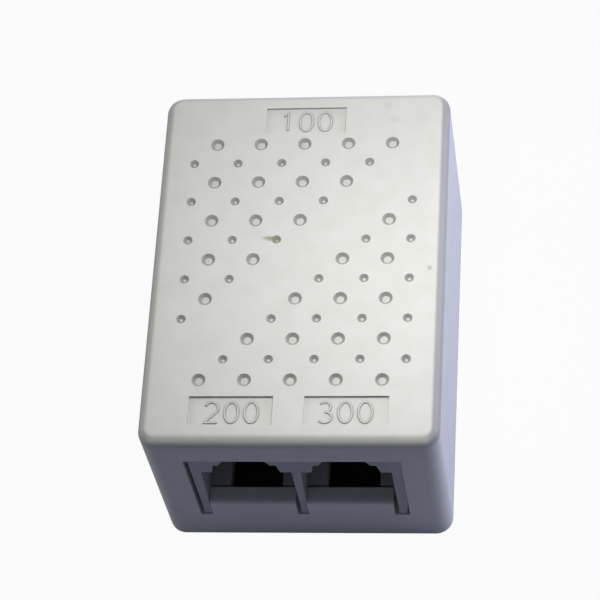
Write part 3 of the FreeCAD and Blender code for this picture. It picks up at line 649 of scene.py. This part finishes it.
@dataclass
class Case:
    """The top cover with its numbers, the base cover and its screws.

    Attributes:
        numbers: The raised numbers in the three label recesses.
    """

    numbers: tuple[PortNumber, ...] = (
        PortNumber("line_number", (Digit.ONE, Digit.ZERO, Digit.ZERO), (0.0, 18.8)),
        PortNumber("phone_number", (Digit.TWO, Digit.ZERO, Digit.ZERO), (-6.27, -18.7)),
        PortNumber("dsl_number", (Digit.THREE, Digit.ZERO, Digit.ZERO), (6.27, -18.7)),
    )

    def build(self) -> None:
        """Builds the numbers and the smooth stand-in for the top cover."""
        refined("top_cover", "top_cover_moulding", CASE_PLASTIC)
        for number in self.numbers:
            number.build()

    def dress(self) -> None:
        """Gives the base cover and the screws their finishes."""
        dress("base_cover", BASE_PLASTIC)
        dress("base_screws", SCREW_ZINC)


# The sockets

@dataclass
class Sockets:
    """The two socket blocks, the black carriers in them and their contact springs.

    Attributes:
        ports: The names of the three sockets.
        contacts: How many springs each has.
    """

    ports: tuple[str, ...] = ("phone", "dsl", "line")
    contacts: int = 4

    def dress(self) -> None:
        """Gives each block, carrier and spring its finish."""
        for block in ("twin_port_block", "line_port_block"):
            dress(block, SHADE_DARKENED_SOCKET_PLASTIC)
        for port in self.ports:
            dress(port + "_contact_carrier", CARRIER_PLASTIC)
            for number in range(1, self.contacts + 1):
                dress(f"{port}_contact_{number}", CONTACT_GOLD)


# The filter inside

@dataclass
class ChokeCoil:
    """The wire on one choke's bobbin: turns side by side round the sleeve, in a block with round corners.

    Attributes:
        node: The CAD node that the coil stands for.
        wire: The wire's thickness, in millimetres.
        corner: The radius of the outer turns at the corners, in millimetres.
        sleeve: Half of the hollow's width and height, in millimetres.
        sleeve_corner: The radius of the hollow's corners, in millimetres.
        corner_points: How many points each corner of a turn has.
        scallop_points: How many points the outer half of a turn's section has.
    """

    node: str
    wire: float = 0.26
    corner: float = 1.2
    sleeve: Point = (1.5, 2.35)
    sleeve_corner: float = 0.02
    corner_points: int = 7
    scallop_points: int = 5

    def loop(self, half: Point, radius: float) -> tuple[np.ndarray, np.ndarray]:
        """A rectangle with round corners, and the directions that point out of it.

        Each corner is a quarter circle about a point set in from the corner by the radius, and the
        straight sides are the steps between one corner's end and the next one's start.

        Args:
            half: Half of the loop's width and height, in millimetres.
            radius: The corner's radius, in millimetres.

        Returns:
            The points and the outward directions, each points x 2.
        """
        turn = np.linspace(0.0, np.pi / 2, self.corner_points)[None, :] + np.arange(4)[:, None] * np.pi / 2
        outward = np.stack([np.cos(turn), np.sin(turn)], axis=-1)
        signs = np.array([(1, 1), (-1, 1), (-1, -1), (1, -1)])[:, None, :]
        points = signs * (np.array(half) - radius) + outward * radius
        return points.reshape(-1, 2), outward.reshape(-1, 2)

    def build(self) -> bpy.types.Object:
        """Builds the coil in the box of the node that it replaces.

        Its section, along the choke, is flat on the sleeve and scalloped outside: one half circle for
        each turn of wire. The section is carried round the loop.
        """
        low, high = (np.array(corner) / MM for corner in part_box(self.node))
        middle, half = (low + high) / 2, (high - low) / 2
        turns = int(2 * half[1] / self.wire)
        outer, outward = self.loop((half[0], half[2]), self.corner)
        inner, _ = self.loop(self.sleeve, self.sleeve_corner)
        swell = np.linspace(0.0, np.pi, self.scallop_points, endpoint=False)
        along = (np.arange(turns)[:, None] + (1 - np.cos(swell))[None, :] / 2).ravel()
        along = np.append(along, turns) / turns * 2 - 1
        depth = np.append(np.tile(np.sin(swell), turns), 0.0) * self.wire / 2 - self.wire / 2
        outside = outer[:, None, :] + outward[:, None, :] * depth[None, :, None]
        inside = np.repeat(inner[:, None, :], 2, axis=1)
        section = np.concatenate([outside, inside], axis=1)
        y = np.append(along, [1.0, -1.0])[None, :, None] * half[1]
        y = np.broadcast_to(y, section.shape[:2] + (1,))
        rings = np.concatenate([section[..., :1], y, section[..., 1:]], axis=-1) + middle
        mesh = grid_mesh(self.node + "_turns", rings * MM, closed_path=True)
        smooth_by_angle(mesh, WIRE_CREASE)
        piece = add_piece(self.node + "_turns", mesh, ENAMELLED_WIRE)
        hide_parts(self.node)
        return piece


@dataclass
class Filter:
    """The circuit board and what stands on it.

    Attributes:
        chokes: The two chokes.
        finishes: The finish of each node that is dressed as it is.
    """

    chokes: tuple[str, ...] = ("left_choke", "right_choke")
    finishes: dict[str, Finish] = field(default_factory=lambda: {
        "circuit_board": SOLDER_MASK,
        "phone_capacitor": CAPACITOR_BOX,
        "series_capacitor": CAPACITOR_BOX,
        "line_capacitor": CAPACITOR_BOX,
        "inner_resistor": RESISTOR_LACQUER,
        "outer_resistor": RESISTOR_LACQUER,
        "arrester_tube": ARRESTER_CERAMIC,
        "arrester_front_cap": TINNED,
        "arrester_rear_cap": TINNED,
    })

    def build(self) -> None:
        """Winds the coil of each choke."""
        for choke in self.chokes:
            ChokeCoil(choke + "_winding").build()

    def dress(self) -> None:
        """Gives every other node its finish."""
        for node, finish in self.finishes.items():
            dress(node, finish)
        for choke in self.chokes:
            dress(choke + "_front_core", FERRITE)
            dress(choke + "_rear_core", FERRITE)
            dress(choke + "_bobbin", BOBBIN_PLASTIC)
            dress(choke + "_pins", TINNED)


# The studio

@dataclass
class SoftLight:
    """A square soft box.

    Attributes:
        name: Its name.
        place: Where it hangs, in metres.
        aim: The point that it faces, in metres.
        side: The length of its side, in metres.
        power: Its power in watts.
        colour: Its colour, linear.
    """

    name: str
    place: Point3
    aim: Point3
    side: float
    power: float
    colour: Colour = (1.0, 1.0, 1.0)

    def build(self) -> None:
        """Hangs the soft box, unseen by the camera, and turns it to its aim."""
        light = bpy.data.lights.new(self.name, "AREA")
        light.shape = "SQUARE"
        light.size = self.side
        light.energy = self.power
        light.color = self.colour
        lamp = bpy.data.objects.new(self.name, light)
        lamp.visible_camera = False
        lamp.location = self.place
        toward = Vector(self.aim) - Vector(self.place)
        lamp.rotation_euler = toward.to_track_quat("-Z", "Y").to_euler()
        bpy.context.scene.collection.objects.link(lamp)


@dataclass
class Studio:
    """A pale floor, soft boxes, a dim sky and the camera at the photograph's place.

    Attributes:
        floor_side: The length of the floor's shorter side, in metres.
        opening: The width and length, in millimetres, of the opening that shows the splitter's underside.
        opening_corner: The radius of the opening's corners, in millimetres.
        floor_colour: The floor's colour, linear.
        floor_white: How much of the floor's look is plain white to the camera, the rest being lit.
        sky: The colour of the light from all round, linear.
        sky_strength: How strong that light is.
        eye: The camera's place, in metres.
        right: The camera's right-hand direction.
        up: The camera's upward direction.
        lens: The focal length, in millimetres.
        sensor: The width of the camera's sensor, in millimetres.
        nearest: How near to the camera the picture starts, in metres.
        lights: The soft boxes.
    """

    floor_side: float = 2.0
    opening: Point = (32.4, 44.4)
    opening_corner: float = 2.0
    floor_colour: Colour = (0.52, 0.54, 0.68)
    floor_white: float = 0.95
    sky: Colour = (0.68, 0.73, 1.0)
    sky_strength: float = 0.12
    eye: Point3 = (0.03665, -0.1399, 0.27119)
    right: Point3 = (0.99185, 0.05504, -0.11489)
    up: Point3 = (0.00682, 0.87763, 0.47930)
    lens: float = 152.6
    sensor: float = 36.0
    nearest: float = 0.01
    lights: tuple[SoftLight, ...] = (
        SoftLight("near_light", (0.017, -0.001, 0.075), (0.017, -0.001, 0.0), 0.03, 0.0235,
                  (1.0, 0.99, 0.98)),
        SoftLight("left_light", (-0.26, 0.05, 0.16), (0.0, 0.0, 0.02), 0.14, 0.22, (1.0, 1.0, 0.94)),
        SoftLight("side_light", (0.15, 0.05, 0.03), (0.0, 0.0, 0.02), 0.12, 0.22, (0.72, 0.75, 1.0)),
        SoftLight("under_light", (0.0, -0.12, -0.3), (0.0, 0.0, 0.0), 0.14, 0.6),
        SoftLight("rear_light", (0.06, 0.32, 0.1), (0.0, 0.0, 0.02), 0.14, 0.3, (0.92, 0.94, 1.0)),
    )

    def seen(self, graph: Graph) -> bpy.types.NodeSocket:
        """1 for a ray from the camera and 0 for one that only carries light."""
        return graph.add("LightPath").outputs["Is Camera Ray"]

    def floor_mesh(self) -> bpy.types.Mesh:
        """A ring of quads between the opening and the same outline enlarged about the middle.

        The opening is a rectangle whose corners are quarter circles.
        """
        radius, half = self.opening_corner, np.array(self.opening) / 2
        quarters = zip(np.array([(1, 1), (-1, 1), (-1, -1), (1, -1)]), (0, 90, 180, 270))
        corners = [arc(sign * (half - radius), (radius, radius), start, start + 90)
                   for sign, start in quarters]
        inner = np.concatenate(corners) * MM
        outer = inner / half.min() / MM * self.floor_side / 2
        count = len(inner)
        flat = np.zeros((2 * count, 3))
        flat[:, :2] = np.concatenate([inner, outer])
        turn = np.arange(count)
        onward = (turn + 1) % count
        faces = np.stack([turn, turn + count, onward + count, onward], axis=-1)
        mesh = bpy.data.meshes.new("floor")
        mesh.from_pydata(flat.tolist(), [], faces.tolist())
        return mesh

    def floor_paper(self) -> bpy.types.Material:
        """The floor's material: lit and shadowed, with most of its look plain white to the camera."""
        material = bpy.data.materials.new("floor_paper")
        material.use_nodes = True
        graph = Graph(material.node_tree)
        paper = graph.add("BsdfDiffuse")
        paper.inputs["Color"].default_value = with_alpha(self.floor_colour)
        glow = graph.add("Emission")
        mixed = graph.add("MixShader")
        graph.join(graph.maths("MULTIPLY", self.seen(graph), self.floor_white), mixed.inputs["Fac"])
        graph.join(paper.outputs["BSDF"], mixed.inputs[1])
        graph.join(glow.outputs["Emission"], mixed.inputs[2])
        graph.join(mixed.outputs["Shader"], graph.add("OutputMaterial").inputs["Surface"])
        return material

    def build_floor(self) -> None:
        """Lays the floor under the splitter."""
        mesh = self.floor_mesh()
        mesh.materials.append(self.floor_paper())
        floor = bpy.data.objects.new("floor", mesh)
        bpy.context.scene.collection.objects.link(floor)

    def build_sky(self) -> None:
        """Makes the world: a dim light from all round, and plain white behind the object."""
        world = bpy.data.worlds.new("studio")
        bpy.context.scene.world = world
        world.use_nodes = True
        graph = Graph(world.node_tree)
        fill = graph.add("Background")
        fill.inputs["Color"].default_value = with_alpha(self.sky)
        fill.inputs["Strength"].default_value = self.sky_strength
        white = graph.add("Background")
        white.inputs["Color"].default_value = (1.0, 1.0, 1.0, 1.0)
        mixed = graph.add("MixShader")
        graph.join(self.seen(graph), mixed.inputs["Fac"])
        graph.join(fill.outputs["Background"], mixed.inputs[1])
        graph.join(white.outputs["Background"], mixed.inputs[2])
        graph.join(mixed.outputs["Shader"], graph.add("OutputWorld").inputs["Surface"])

    def build_camera(self) -> None:
        """Stands the camera where the photograph was taken from."""
        right, up = Vector(self.right).normalized(), Vector(self.up)
        back = right.cross(up).normalized()
        up = back.cross(right)
        camera = bpy.data.objects.new("camera", bpy.data.cameras.new("camera"))
        camera.data.lens = self.lens
        camera.data.sensor_width = self.sensor
        camera.data.clip_start = self.nearest
        turn = Matrix((right, up, back)).transposed().to_4x4()
        camera.matrix_world = Matrix.Translation(self.eye) @ turn
        bpy.context.scene.collection.objects.link(camera)
        bpy.context.scene.camera = camera

    def build(self) -> None:
        """Sets up floor, sky, lights and camera."""
        self.build_floor()
        self.build_sky()
        for light in self.lights:
            light.build()
        self.build_camera()
        bpy.context.scene.view_settings.view_transform = "Standard"


def main() -> None:
    """Builds and dresses the splitter, from the case inwards, and then the studio round it."""
    logging.basicConfig(level=logging.INFO, format="%(name)s: %(message)s")
    case, sockets, inside = Case(), Sockets(), Filter()
    case.build()
    inside.build()
    for assembly in (case, sockets, inside):
        assembly.dress()
    Studio().build()


if __name__ == "__main__":
    main()
